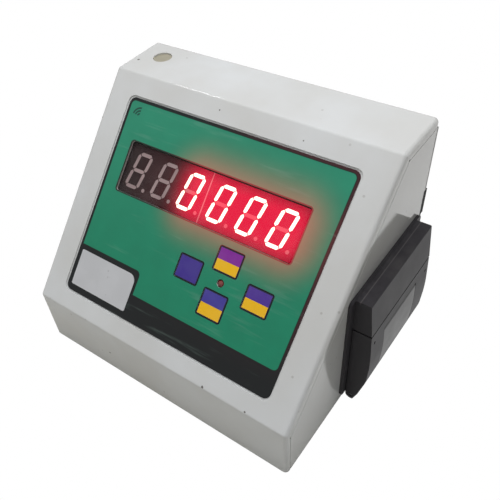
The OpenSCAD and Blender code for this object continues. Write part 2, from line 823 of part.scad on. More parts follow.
// Main board on its spacers, low in the front of the case
main_z = base_z + sheet_t + main_up;
module on_main() in_case() translate([main_x, main_y, main_z]) children();
module main_corners() for (x = [-1, 1] * (main_w / 2 - main_inset), y = [main_inset, main_d - main_inset])
    translate([x, y, 0]) children();
module main_board() color("darkgreen") on_main() difference() {
    translate([-main_w / 2, 0, 0]) cube([main_w, main_d, board_t]);
    main_corners() translate([0, 0, -over])
        cylinder(h = board_t + 2 * over, r = screw_hole_r, $fn = small_fn);
}
board_tall = board_high_s - board_low_s;
header_x = main_x + chip_shares[3][0] * main_w;
header_s = board_low_s + header_rise;
header_face = board_back - header_h;
module board_spacers() color("silver") on_main() main_corners() {
    translate([0, 0, -main_up]) cylinder(h = main_up, r = spacer_r, $fn = small_fn);
    translate([0, 0, 0]) cylinder(h = board_t, r = screw_r, $fn = small_fn);
    translate([0, 0, board_t]) cylinder(h = head_h, r = head_r, $fn = small_fn);
}
module board_chips() color("black") {
    on_main() for (c = chip_shares) translate([c[0] * main_w, c[1] * main_d, board_t])
        block(c[2] * main_w, c[3] * main_d, c[4] * tallest_chip);
    in_case() on_slope() for (c = display_chip_shares) let (h = c[4] * tallest_chip)
        translate([c[0] * board_w, board_low_s + c[1] * board_tall, board_back - h])
            block(c[2] * board_w, c[3] * board_tall, h);
    in_case() on_slope() translate([header_x, header_s, header_face])
        block(header_w, header_d, header_h);
}
module board_capacitors() color("midnightblue") on_main() for (c = cap_shares)
    translate([c[0] * main_w, c[1] * main_d, board_t])
        cylinder(h = c[3] * tallest_cap, r = c[2] * tallest_cap, $fn = round_fn);

// Flat cable from the main board's header up to the header behind the display board
function on_slope_at(d, level) = [d * cos(slope_angle) - level * sin(slope_angle),
    slope_z + d * sin(slope_angle) + level * cos(slope_angle)];
ribbon_y = main_y + chip_shares[3][1] * main_d;
ribbon_low = main_z + board_t + chip_shares[3][4] * tallest_chip;
ribbon_path = [[ribbon_y, ribbon_low], [ribbon_y, ribbon_low + ribbon_lead],
    on_slope_at(header_s, header_face - ribbon_lead), on_slope_at(header_s, header_face)];
function band_side(path, w) = let (last = len(path) - 1) [for (i = [0:last]) let (
    a = unit(path[max(i, 1)] - path[max(i, 1) - 1]),
        b = unit(path[min(i, last - 1) + 1] - path[min(i, last - 1)]),
    m = unit(a + b)) path[i] + w / (m * a) * [-m.y, m.x]];
module ribbon_cable() color("lightgray") in_case() let (
    far = band_side(ribbon_path, ribbon_t / 2), near = band_side(ribbon_path, -ribbon_t / 2))
    along_x(header_x - ribbon_w / 2, header_x + ribbon_w / 2)
        polygon(concat(far, [for (i = [len(near) - 1:-1:0]) near[i]]));

// Mains transformer: laminated core on a foot strap, with its coil
floor_z = base_z + sheet_t;
module transformer_core() color("dimgray") in_case() translate([core_x, core_y, floor_z]) {
    translate([0, 0, core_foot_t]) difference() {
        block(core_w, core_d, core_h);
        for (x = [-1, 1] * core_w / 4) translate([x, 0, core_h / 4])
            block(core_w / 4, core_d + 2 * over, core_h / 2);
    }
    block(core_foot_w, core_d, core_foot_t);
}
module transformer_coil() color("khaki") in_case()
    translate([core_x, core_y, floor_z + core_foot_t + core_h / 4]) difference() {
    translate([0, 0, seat]) block(core_w * 3 / 4 - 2 * seat, coil_d, core_h / 2 - 2 * seat);
    translate([0, 0, -over]) block(core_w / 4 + 2 * seat, core_d + 2 * seat, core_h / 2 + 2 * over);
}
module battery() color("darkslategray") in_case() translate([battery_x, battery_y, floor_z]) {
    slab(battery_w, battery_d, battery_h, battery_r);
    for (x = [-1, 1] * battery_w / 4) translate([x, battery_d / 4, battery_h])
        block(tab_w, label_t, tab_h);
}
module battery_strap() color("silver") in_case() translate([battery_x, battery_y, floor_z]) {
    difference() {
        block(battery_w + 2 * (strap_t + seat), strap_w, battery_h + strap_t + seat);
        translate([0, 0, -over]) block(battery_w + 2 * seat, strap_w + 2 * over, battery_h + seat + over);
    }
    for (x = [-1, 1] * (battery_w / 2 + seat + strap_foot / 2)) translate([x, 0, 0])
        block(strap_foot, strap_w, strap_t);
}

// Finned heat sink whose lip laps round the right rear edge of the case
module heat_sink() color("black") in_case() {
    on_rear(side_x - sink_w / 2, sink_z) slab(sink_w, sink_h, sink_base, 0);
    on_rear(side_x - sheet_t / 2, sink_z) translate([0, 0, -sink_sunk])
        slab(sheet_t, sink_h, sink_sunk + sheet_t, 0);
    for (i = [0:sink_fins - 1])
        on_rear(side_x - sink_w + sink_fin / 2 + i * sink_step, sink_z) block(sink_fin, sink_h, sink_d);
}
sink_step = (sink_w - sink_fins_in - sink_fin) / (sink_fins - 1);

// Power inlet with a flange held on the rear panel
inlet_seat = -inlet_body_d;
module power_inlet() color("black") in_case() on_rear(inlet_x, inlet_z) difference() {
    union() {
        slab(inlet_w, inlet_h, inlet_t, edge_r);
        translate([0, 0, inlet_seat]) slab(inlet_body_w, inlet_body_h, inlet_body_d, 0);
    }
    translate([0, 0, inlet_t - inlet_mouth_d]) linear_extrude(inlet_mouth_d + over)
        polygon(rounded(box_points(inlet_mouth_w, inlet_mouth_h), [edge_r, edge_r, sheet_t, sheet_t]));
    for (x = [-inlet_screw_dx, inlet_screw_dx]) translate([x, 0, -over])
        cylinder(h = inlet_t + 2 * over, r = screw_hole_r, $fn = small_fn);
}
module inlet_pins() color("silver") in_case() on_rear(inlet_x, inlet_z)
    for (p = [[-inlet_pin_dx, inlet_pin_rise], [0, -inlet_pin_rise], [inlet_pin_dx, inlet_pin_rise]])
        translate([p.x, p.y, inlet_t - inlet_mouth_d]) block(inlet_pin_w, inlet_pin_h, inlet_pin_len);

// Rocker switch: open housing behind a bezel, and the rocker on its stub axles
module switch_housing() color("black") in_case() on_rear(switch_x, switch_z) difference() {
    union() {
        slab(bezel_w, bezel_h, bezel_t, edge_r / 2);
        translate([0, 0, -housing_d]) slab(housing_w, housing_h, housing_d, 0);
    }
    translate([0, 0, housing_wall - housing_d])
        slab(housing_w - 2 * housing_wall, housing_h - 2 * housing_wall, housing_d + bezel_t, 0);
    translate([0, 0, -rocker_axle_in]) rotate([90, 0, 0])
        cylinder(h = housing_h, r = rocker_pin_r + running, center = true, $fn = round_fn);
}
module switch_rocker() color("black") in_case() on_rear(switch_x, switch_z)
    translate([0, 0, -rocker_axle_in])
    rotate([0, rocker_tilt, 0]) {
        rotate([90, 0, 0]) linear_extrude(rocker_h, center = true) polygon([
            [-rocker_w / 2, rocker_flat], [-rocker_w / 2 + rocker_flat, -rocker_axle_in],
            [rocker_w / 2 - rocker_flat, -rocker_axle_in], [rocker_w / 2, rocker_flat],
            [rocker_w / 4, rocker_flat - bezel_t / 4], [0, rocker_flat - bezel_t / 2],
            [-rocker_w / 4, rocker_flat - bezel_t / 4]]);
        rotate([90, 0, 0]) cylinder(h = housing_h - housing_wall, r = rocker_pin_r, center = true,
            $fn = round_fn);
    }

// Panel fuse holder: threaded body with a collar, and the bayonet cap
module fuse_body() color("black") in_case() on_rear(fuse_x, fuse_z) difference() {
    union() {
        cylinder(h = fuse_nut_t, r = fuse_nut_r, $fn = round_fn);
        translate([0, 0, -fuse_len]) cylinder(h = fuse_len, r = fuse_r, $fn = round_fn);
    }
    translate([0, 0, fuse_nut_t - fuse_plug_h - seat])
        cylinder(h = fuse_plug_h + over, r = fuse_plug_r + running, $fn = round_fn);
}
module fuse_cap() color("black") in_case() on_rear(fuse_x, fuse_z) translate([0, 0, fuse_nut_t + seat])
    difference() {
    union() {
        cylinder(h = fuse_cap_h, r = fuse_cap_r, $fn = round_fn);
        translate([0, 0, -fuse_plug_h + seat]) cylinder(h = fuse_plug_h, r = fuse_plug_r, $fn = round_fn);
    }
    translate([0, 0, fuse_cap_h - fuse_slot_d])
        block(2 * fuse_cap_r + over, fuse_slot_w, fuse_slot_d + over);
}

// Round threaded socket for the load cell's plug, with its contact pins
module load_cell_socket() color("silver") in_case() on_rear(socket_x, socket_z) {
    difference() {
        union() {
            slab(socket_flange, socket_flange, socket_flange_t, edge_r);
            cylinder(h = socket_flange_t + socket_len, d = socket_d, $fn = round_fn);
            translate([0, 0, -socket_body_len])
                cylinder(h = socket_body_len, d = socket_d, $fn = round_fn);
            translate([0, 0, -sheet_t - socket_nut_t])
                cylinder(h = socket_nut_t, d = socket_nut_w, $fn = 6);
        }
        translate([0, 0, socket_flange_t - over])
            cylinder(h = socket_len + 2 * over, r = socket_bore_r, $fn = round_fn);
    }
    for (i = [0:socket_pins - 1]) let (a = i * 360 / (socket_pins - 1))
        translate(i == 0 ? [0, 0, 0] : [socket_pin_ring * cos(a), socket_pin_ring * sin(a), 0])
            translate([0, 0, socket_flange_t - over])
                cylinder(h = socket_pin_len + over, r = socket_pin_r, $fn = small_fn);
}
function shell_points(w, h) = [[-w / 2 + w * shell_lean_share, -h / 2],
    [w / 2 - w * shell_lean_share, -h / 2],
    [w / 2, h / 2], [-w / 2, h / 2]];
module serial_socket() color("silver") in_case() on_rear(serial_x, serial_z) {
    difference() {
        union() {
            slab(serial_w, serial_h, serial_t, sheet_t);
            linear_extrude(shell_len + serial_t)
                polygon(rounded(shell_points(shell_w, shell_h), sheet_t));
            translate([0, 0, -serial_back_d]) slab(shell_w, shell_h, serial_back_d, 0);
        }
        for (i = [0:8]) translate([(i < 5 ? i - 2 : i - 6.5) * pin_hole_pitch,
            i < 5 ? pin_row : -pin_row, serial_t])
            cylinder(h = shell_len + over, r = pin_hole_r, $fn = small_fn);
    }
    for (x = [-hex_dx, hex_dx]) translate([x, 0, serial_t]) difference() {
        cylinder(h = hex_len, r = hex_r, $fn = 6);
        translate([0, 0, hex_len - hex_bore_len])
            cylinder(h = hex_bore_len + over, r = hex_bore_r, $fn = small_fn);
    }
}

// The printer's side view, as points (out from the side panel, height)
function door_outer(d) = [[parting_out - d, parting_z - slot_gap / 2], [belly_out - d, belly_z],
    [low_out - d, low_z],
    [chin_out - d, chin_z],
        [hinge_out + (barrel_r - d) * cos(barrel_turn), hinge_z - (barrel_r - d) * sin(barrel_turn)]];
function door_out_at(z) = parting_out + (belly_out - parting_out) * (parting_z - z) / (parting_z - belly_z);
door_turns = 8;
function barrel(d) = [for (i = [0:door_turns]) [hinge_out,
    hinge_z] - (barrel_r - d) * [sin(90 * i / door_turns), cos(90 * i / door_turns)]];
function door_profile(d, back) = concat(
    rounded([[back, hinge_z + barrel_r], [back, parting_z - slot_gap / 2]], 0),
    rounded(door_outer(d), door_bends), barrel(d));
function cover_profile(d) = [[flange_t, parting_z + slot_gap / 2],
    [parting_out - d, parting_z + slot_gap / 2],
    [cover_out - d, cover_top - d], [flange_t, cover_top - d]];
module side_profile(p, y0, y1) beside(0, 0) along_y(y0, y1) polygon(p);

module printer_frame() color("black") in_case() {
    difference() {
        union() {
            translate([side_x, printer_y + printer_w / 2, printer_z + printer_w / 2]) rotate([90, 0, 90])
                slab(printer_w, printer_w, flange_t, flange_r);
            beside(-tub_depth, 0) translate([0, tub_y0, tub_z0])
                cube([tub_depth, tub_y1 - tub_y0, tub_z1 - tub_z0]);
        }
        beside(tub_wall - tub_depth, 0) translate([0, tub_y0 + tub_wall, tub_z0 + tub_wall])
            cube([tub_depth + flange_t, tub_y1 - tub_y0 - 2 * tub_wall, tub_z1 - tub_z0 - 2 * tub_wall]);
    }
    for (y = [body_y0 + body_wall + ear_gap, body_y1 - body_wall - ear_gap - ear_w]) difference() {
        beside(0, 0) {
            translate([flange_t, y, hinge_z - ear_r]) cube([hinge_out - flange_t, ear_w, 2 * ear_r]);
            translate([hinge_out, 0, hinge_z]) rod_y(y, y + ear_w, ear_r);
        }
        beside(hinge_out, hinge_z) rod_y(y - over, y + ear_w + over, hinge_pin_r);
    }
    printer_chassis();
}
idler_out = platen_out + gear_reach(platen_teeth, idler_teeth) * cos(idler_turn);
idler_z = platen_z + gear_reach(platen_teeth, idler_teeth) * sin(idler_turn);
pinion_out = idler_out + gear_reach(idler_teeth, pinion_teeth) * cos(pinion_turn);
pinion_z = idler_z + gear_reach(idler_teeth, pinion_teeth) * sin(pinion_turn);
function gear_reach(a, b) = (a + b) * gear_module / 2;

// Steel plates inside the tub that carry the motor, the idler and the head springs
module printer_chassis() {
    difference() {
        union() {
            beside(-chassis_back, 0) translate([0, tub_y0 + tub_wall, chassis_low])
                cube([chassis_t, cheek_y - tub_y0 - tub_wall, chassis_high - chassis_low]);
            beside(pinion_out - motor_r, 0) translate([0, cheek_y, chassis_low])
                cube([motor_r - pinion_out, cheek_t, tub_z1 - tub_wall - chassis_low]);
        }
        beside(pinion_out, pinion_z)
            rod_y(cheek_y - over, cheek_y + cheek_t + over, motor_shaft_r + slip);
        beside(pinion_out, pinion_z) rod_y(cheek_y - motor_len - over, cheek_y, motor_r + seat);
    }
    beside(idler_out, idler_z) rod_y(cheek_y + cheek_t, gear_y + gear_w + seat, idler_hub_r);
}
module printer_clamps() color("silver") in_case()
    for (side = [[tub_y0 - clamp_reach - seat, tub_y0 - seat - clamp_t], [tub_y1 + seat, tub_y1 + seat]])
        beside(-sheet_t, (tub_z0 + tub_z1 - clamp_w) / 2) {
            translate([-clamp_t, side[0], 0]) cube([clamp_t, clamp_reach, clamp_w]);
            translate([-clamp_reach, side[1], 0]) cube([clamp_reach, clamp_t, clamp_w]);
        }
module head_cover() color("black") in_case() {
    difference() {
        side_profile(rounded(cover_profile(0), [0, 0, flange_t / 2, 0]), body_y0, body_y1);
        side_profile(concat([for (p = cover_profile(body_wall)) [p.x == flange_t ? p.x - over : p.x,
            p.y == parting_z + slot_gap / 2 ? p.y - over : p.y]]), body_y0 + body_wall,
                body_y1 - body_wall);
    }
    tear_bar();
}
// Serrated tear edge fixed behind the head cover's lower rim
module tear_bar() {
    count = floor(platen_len / (2 * tear_tooth));
    low = parting_z + slot_gap / 2;
    translate([side_x + parting_out - body_wall - tear_t - tear_t, body_mid, low]) rotate([90, 0, 90])
        linear_extrude(tear_t)
        polygon(concat([for (i = [0:2 * count]) [(i - count) * tear_tooth, i % 2 == 0 ? tear_tooth : 0]],
            [[count * tear_tooth, tear_h], [-count * tear_tooth, tear_h]]));
}

module door_window(gap) along_x(side_x, side_x + 2 * belly_out)
    translate([latch_y0 + latch_y1, latch_z0 + latch_z1] / 2) polygon(rounded(
        box_points(latch_y1 - latch_y0 - 2 * gap, latch_z1 - latch_z0 - 2 * gap),
            [latch_r - gap, latch_r - gap, 0, 0]));
module paper_door() color("black") in_case() {
    difference() {
        side_profile(door_profile(0, back_out), body_y0, body_y1);
        side_profile(concat(
            [[0, hinge_z], [0, parting_z]],
                [for (p = door_outer(body_wall)) p.y > belly_z ? [p.x, parting_z] : p],
            barrel(door_skin)), body_y0 + body_wall, body_y1 - body_wall);
        door_window(0);
        for (y = [body_y0 + body_wall, body_y1 - body_wall - ear_w - 2 * ear_gap])
            beside(0, 0) translate([flange_t, y, hinge_z - 2 * barrel_r])
                cube([hinge_out + barrel_cut - flange_t, ear_w + 2 * ear_gap, 2 * barrel_r]);
        for (y = [body_y0 + body_wall, body_y1 - body_wall - ear_w - 2 * ear_gap])
            beside(hinge_out, hinge_z) rod_y(y, y + ear_w + 2 * ear_gap, ear_r + ear_gap);
        beside(hinge_out, hinge_z) rod_y(body_y0 - over, body_y1 + over, hinge_pin_r + running);
        for (side = [-1, 1]) translate([side_x + door_out_at(dimple_z) - dimple_d,
            body_mid + side * dimple_dy, dimple_z])
            rotate([0, 90, 0]) cylinder(h = dimple_d + over, r = dimple_r, $fn = small_fn);
    }
    difference() {
        for (y = [body_y0 + body_wall, body_y1 - body_wall - boss_len])
            beside(platen_out, platen_z) rod_y(y, y + boss_len, boss_r);
        beside(platen_out, platen_z) rod_y(body_y0 + body_wall, body_y1 - body_wall, shaft_r + running);
    }
    for (y = [latch_y0 - rib_gap - rib_w, latch_y1 + rib_gap]) difference() {
        beside(latch_pin_out - knuckle_r, latch_pin_z - rib_drop) translate([0, y, 0])
            cube([low_out - body_wall / 2 - latch_pin_out + knuckle_r, rib_w, rib_drop + rib_rise]);
        beside(latch_pin_out, latch_pin_z) rod_y(y - over, y + rib_w + over, latch_pin_r);
    }
}
module door_pin() color("silver") in_case() beside(hinge_out, hinge_z)
    rod_y(body_y0 + body_wall / 4, body_y1 - body_wall / 4, hinge_pin_r);
module door_latch() color("black") in_case() difference() {
    union() {
        intersection() {
            side_profile(concat(door_outer(body_wall),
                rounded([for (i = [4:-1:0]) door_outer(0)[i]], [for (i = [4:-1:0]) door_bends[i]])),
                latch_y0, latch_y1);
            door_window(latch_gap);
            translate([side_x, latch_y0, latch_z0])
                cube([2 * belly_out, latch_y1 - latch_y0, latch_pin_z - latch_z0]);
        }
        intersection() {
            beside(latch_pin_out, latch_pin_z)
                rod_y(latch_y0 + latch_gap, latch_y1 - latch_gap, latch_roll_r);
            beside(latch_pin_out, latch_pin_z) translate([0, latch_y0, 0])
                cube([latch_roll_r, latch_y1 - latch_y0, latch_roll_r]);
        }
        for (y = [latch_y0 + latch_gap, latch_y1 - latch_gap - lug_w]) {
            beside(latch_pin_out, latch_pin_z) rod_y(y, y + lug_w, knuckle_r);
            beside(latch_pin_out, latch_pin_z - knuckle_r) translate([0, y, 0])
                cube([knuckle_r, lug_w, knuckle_r]);
        }
    }
    beside(latch_pin_out, latch_pin_z) rod_y(latch_y0, latch_y1, latch_pin_r + running);
}
module latch_pin() color("silver") in_case() beside(latch_pin_out, latch_pin_z)
    rod_y(latch_y0 - rib_gap - rib_w, latch_y1 + rib_gap + rib_w, latch_pin_r);

// Involute gear outline from its tooth count, with its first tooth on the x axis
function involute(r, a) = r * [cos(a) + a * PI / 180 * sin(a), sin(a) - a * PI / 180 * cos(a)];
function spun(p, a) = [p.x * cos(a) - p.y * sin(a), p.x * sin(a) + p.y * cos(a)];
function gear_points(teeth) = let (
        pitch_r = teeth * gear_module / 2, base_r = pitch_r * cos(20),
            tip_r = pitch_r + gear_module * tip_share,
        root_r = pitch_r - gear_module * root_share, low_r = max(base_r, root_r),
        roll = function (r) sqrt(max(0, pow(r / base_r, 2) - 1)) * 180 / PI,
        lift = roll(pitch_r) - atan(roll(pitch_r) * PI / 180),
        half = 90 / teeth - gear_backlash / 2 / pitch_r * 180 / PI + lift,
        flank = [for (i = [0:4]) let (r = low_r + (tip_r - low_r) * i / 4) involute(base_r, roll(r))])
    [for (t = [0:teeth - 1]) let (a = t * 360 / teeth) each concat(
        [root_r * [cos(a - half), sin(a - half)]], [for (p = flank) spun(p, a - half)],
        [for (i = [4:-1:0]) spun([flank[i].x, -flank[i].y], a + half)],
            [root_r * [cos(a + half), sin(a + half)]])];
module gear(teeth, turn) translate([0, gear_y + gear_w, 0]) rotate([90, 0, 0]) rotate(turn)
    linear_extrude(gear_w) polygon(gear_points(teeth));

module platen_roller() color("dimgray") in_case() beside(platen_out, platen_z) {
    rod_y(body_y0 + body_wall + seat, body_y1 - body_wall - seat, shaft_r);
    rod_y(body_mid - platen_len / 2, body_mid + platen_len / 2, platen_d / 2);
    gear(platen_teeth, idler_turn + 180 / platen_teeth);
}
module idler_gear() color("white") in_case() beside(idler_out, idler_z) difference() {
    gear(idler_teeth, 0);
    rod_y(gear_y - over, gear_y + gear_w + over, idler_hub_r + running);
}
// The idler has a tooth towards the platen and the pinion a gap towards that tooth's turn
pinion_phase = pinion_turn + 180 + 180 / pinion_teeth + pinion_turn * idler_teeth / pinion_teeth;
module motor_pinion() color("goldenrod") in_case() beside(pinion_out, pinion_z) {
    gear(pinion_teeth, pinion_phase);
    rod_y(cheek_y - motor_len / 2, gear_y + gear_w, motor_shaft_r);
}
module print_motor() color("silver") in_case() beside(pinion_out, pinion_z) difference() {
    rod_y(cheek_y - motor_len, cheek_y, motor_r);
    rod_y(cheek_y - motor_len / 2 - seat, cheek_y + over, motor_shaft_r + running);
}
head_out = platen_out - platen_d / 2 - head_face_gap;
module print_head() color("darkkhaki") in_case() {
    beside(head_out - head_t, platen_z - head_low) translate([0, body_mid - head_len / 2, 0])
        cube([head_t, head_len, head_low + head_high]);
    for (y = [body_mid - spring_dy, body_mid + spring_dy]) beside(0, platen_z) difference() {
        translate([chassis_t - chassis_back + seat, y, 0]) rotate([0, 90, 0])
            cylinder(h = head_out - head_t + chassis_back - chassis_t - seat, r = spring_r,
                $fn = small_fn);
        translate([chassis_t - chassis_back, y, 0]) rotate([0, 90, 0])
            cylinder(h = head_out - head_t + chassis_back - chassis_t, r = spring_r - spring_wall,
                $fn = small_fn);
    }
}
roll_z = tub_z0 + tub_wall + seat + roll_d / 2;
module paper_roll() color("white") in_case() beside(-roll_back, roll_z) difference() {
    rod_y(body_mid - roll_w / 2, body_mid + roll_w / 2, roll_d / 2);
    rod_y(body_mid - roll_w, body_mid + roll_w, roll_bore_r);
}

front_cover();
left_side_panel();
right_side_panel();
rear_panel();
base_plate();
rubber_feet();
case_screws();
top_plug();
front_label();
name_plate();
window_pane();
left_digit_module();
right_digit_module();
lit_segments();
unlit_segments();
display_board();
board_sleeves();
board_nuts();
status_led();
led_spacer();
key_switches();
upper_key();
left_key();
right_key();
lower_key();
upper_plunger();
left_plunger();
right_plunger();
lower_plunger();
main_board();
board_chips();
board_capacitors();
board_spacers();
ribbon_cable();
transformer_core();
transformer_coil();
battery();
battery_strap();
heat_sink();
power_inlet();
inlet_pins();
switch_housing();
switch_rocker();
fuse_body();
fuse_cap();
load_cell_socket();
serial_socket();
printer_frame();
printer_clamps();
head_cover();
paper_door();
door_pin();
door_latch();
latch_pin();
platen_roller();
idler_gear();
motor_pinion();
print_motor();
print_head();
paper_roll();
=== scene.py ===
import math

import bpy
from mathutils import Matrix, Vector


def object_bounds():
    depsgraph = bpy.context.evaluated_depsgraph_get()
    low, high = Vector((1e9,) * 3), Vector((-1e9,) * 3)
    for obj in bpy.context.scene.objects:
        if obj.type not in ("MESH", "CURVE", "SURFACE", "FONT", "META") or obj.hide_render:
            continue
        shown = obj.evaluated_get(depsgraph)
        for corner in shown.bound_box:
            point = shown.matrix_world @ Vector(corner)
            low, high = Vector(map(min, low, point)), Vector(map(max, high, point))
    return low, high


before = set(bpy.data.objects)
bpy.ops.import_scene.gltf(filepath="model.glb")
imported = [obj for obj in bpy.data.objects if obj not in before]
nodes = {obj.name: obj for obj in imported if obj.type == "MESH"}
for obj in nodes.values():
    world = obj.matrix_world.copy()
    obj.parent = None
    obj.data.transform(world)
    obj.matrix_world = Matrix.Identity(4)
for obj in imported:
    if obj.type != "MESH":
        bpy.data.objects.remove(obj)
before = [list(c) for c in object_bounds()]
scene = bpy.context.scene

# Camera, fitted to the photograph
CAMERA_TURN = ((0.7971931, -0.3903984, 0.460513),
               (0.5971463, 0.6221837, -0.5062645),
               (-0.0888789, 0.6785842, 0.7291255))
CAMERA_PLACE = (0.192656, -0.236160, 0.366203)
LENS = 43.57
SENSOR_WIDTH = 36.0
SHIFT_X = 0.072
SHIFT_Y = 0.0769
NEAREST = 0.01
FARTHEST = 20
camera_data = bpy.data.cameras.new("camera")
camera = bpy.data.objects.new("camera", camera_data)
scene.collection.objects.link(camera)
camera.matrix_world = Matrix.Translation(Vector(CAMERA_PLACE)) @ Matrix(CAMERA_TURN).to_4x4()
camera_data.sensor_width = SENSOR_WIDTH
camera_data.sensor_fit = "HORIZONTAL"
camera_data.lens = LENS
camera_data.shift_x = SHIFT_X
camera_data.shift_y = SHIFT_Y
camera_data.clip_start = NEAREST
camera_data.clip_end = FARTHEST
scene.camera = camera
scene.view_settings.view_transform = "Standard"

# The case's own millimetres: x from its middle, y from its front, z from the floor
MM = 0.001
CASE_HALF = 107.0
MIDDLE_X = -CASE_HALF - before[0][0] / MM
FRONT_Y = -before[0][1] / MM
TOP_Z = before[1][2] / MM
SIDE_X = CASE_HALF - MIDDLE_X
# the slope: the height of its lower fold, how far it runs back and rises
FOLD_Z = 48.0
SLOPE_RUN = 121.0
SLOPE_RISE = 122.0
SLOPE_ANGLE = math.atan2(SLOPE_RISE, SLOPE_RUN)
RUN_SHARE = math.cos(SLOPE_ANGLE)
RISE_SHARE = math.sin(SLOPE_ANGLE)


def at(x, y, z):
    """Case millimetres to the row frame."""
    return Vector(((x - MIDDLE_X) * MM, (y - FRONT_Y) * MM, z * MM))


def on_slope(x, s):
    """A point x across and s up the slope."""
    return at(x, s * RUN_SHARE, FOLD_Z + s * RISE_SHARE)


# Node helpers
class Net:
    """A node tree that is written as expressions."""

    def __init__(self, tree):
        self.tree = tree
        tree.nodes.clear()

    def feed(self, socket, value):
        """Links a node's output to a socket, or sets a plain value on it."""
        if isinstance(value, bpy.types.NodeSocket):
            self.tree.links.new(value, socket)
        else:
            socket.default_value = value

    def put(self, kind, inputs=None, **settings):
        """A node of one kind, with its settings and what feeds its inputs."""
        node = self.tree.nodes.new(kind)
        for name, value in settings.items():
            setattr(node, name, value)
        for name, value in (inputs or {}).items():
            self.feed(node.inputs[name], value)
        return node

    def use(self, group, **inputs):
        """The outputs of a shared group that is placed here with its own inputs."""
        return self.put("ShaderNodeGroup", inputs, node_tree=group).outputs

    def parts(self, vector):
        """The three parts of a vector."""
        return self.put("ShaderNodeSeparateXYZ", {0: vector}).outputs

    def calc(self, operation, first, second=None, clamp=False):
        inputs = {0: first}
        if second is not None:
            inputs[1] = second
        return self.put("ShaderNodeMath", inputs, operation=operation, use_clamp=clamp).outputs[0]

    def plus(self, first, second, clamp=False):
        return self.calc("ADD", first, second, clamp)

    def minus(self, first, second):
        return self.calc("SUBTRACT", first, second)

    def times(self, first, second, clamp=False):
        return self.calc("MULTIPLY", first, second, clamp)

    def larger(self, first, second):
        return self.calc("MAXIMUM", first, second)

    def apart(self, first, second):
        """How far two values lie from each other."""
        return self.calc("ABSOLUTE", self.minus(first, second))

    def length(self, first, second):
        """The length of a line that goes first one way and second the other."""
        return self.calc("SQRT", self.plus(self.times(first, first), self.times(second, second)))

    def stretch(self, vector, factors):
        """A vector whose three parts are multiplied by three factors."""
        return self.put("ShaderNodeVectorMath", {0: vector, 1: factors}, operation="MULTIPLY").outputs[0]

    def mix(self, share, first, second):
        """A colour that goes from the first to the second as the share goes from 0 to 1."""
        node = self.put("ShaderNodeMix", data_type="RGBA")
        for index, value in ((0, share), (6, first), (7, second)):
            self.feed(node.inputs[index], value)
        return node.outputs[2]

    def step(self, value, start, end):
        """A smooth step from 0 at start to 1 at end."""
        inputs = {0: value, 1: start, 2: end}
        return self.put("ShaderNodeMapRange", inputs, interpolation_type="SMOOTHSTEP").outputs[0]

    def noise(self, place, scale, detail=2.0, roughness=0.5):
        inputs = {"Vector": place, "Scale": scale, "Detail": detail, "Roughness": roughness}
        return self.put("ShaderNodeTexNoise", inputs).outputs["Fac"]


def linear(level):
    """One display value, 0 to 255, to a linear share."""
    share = level / 255
    return share / 12.92 if share <= 0.04045 else ((share + 0.055) / 1.055) ** 2.4


def rgb(red, green, blue):
    """Display values, 0 to 255, to a linear colour."""
    return (linear(red), linear(green), linear(blue), 1.0)


def tuned(color, gain, lift=0.0):
    """A colour made darker or lighter."""
    return tuple(min(1.0, part * gain + lift) for part in color[:3]) + (1.0,)


# Shared groups: each puts out only masks and values
VALUE = "NodeSocketFloat"
PLACE = ("Vector", "NodeSocketVector", None)


def group(name, inputs, outputs):
    """A new group's net, with its inputs and its outputs."""
    tree = bpy.data.node_groups.new(name, "ShaderNodeTree")
    for title, kind, value in inputs:
        socket = tree.interface.new_socket(name=title, in_out="INPUT", socket_type=kind)
        if value is not None:
            socket.default_value = value
    for title in outputs:
        tree.interface.new_socket(name=title, in_out="OUTPUT", socket_type=VALUE)
    net = Net(tree)
    given = tree.nodes.new("NodeGroupInput").outputs
    wanted = tree.nodes.new("NodeGroupOutput").inputs
    return net, given, wanted


def slope_place():
    """Where a point lies on the slope: X across and S up it, in millimetres."""
    net, given, wanted = group("slope_place", [PLACE], ["X", "S"])
    place = net.parts(given["Vector"])
    x = net.plus(net.times(place[0], 1 / MM), MIDDLE_X)
    y = net.plus(net.times(place[1], 1 / MM), FRONT_Y)
    z = net.minus(net.times(place[2], 1 / MM), FOLD_Z)
    net.feed(wanted["X"], x)
    net.feed(wanted["S"], net.plus(net.times(y, RUN_SHARE), net.times(z, RISE_SHARE)))
    return net.tree


def rounded_box():
    """The distance to a rounded box on the slope, negative inside it."""
    titles = ("X", "S", "Middle X", "Middle S", "Half X", "Half S", "Corner")
    net, given, wanted = group("round_box", [(title, VALUE, 0) for title in titles], ["Distance"])

    def past_core(way):
        """How far a place lies past the box's inner core, along one way."""
        core = net.minus(given["Half " + way], given["Corner"])
        return net.minus(net.apart(given[way], given["Middle " + way]), core)

    past_x = past_core("X")
    past_s = past_core("S")
    outside = net.length(net.larger(past_x, 0.0), net.larger(past_s, 0.0))
    inside = net.calc("MINIMUM", net.larger(past_x, past_s), 0.0)
    net.feed(wanted["Distance"], net.minus(net.plus(outside, inside), given["Corner"]))
    return net.tree


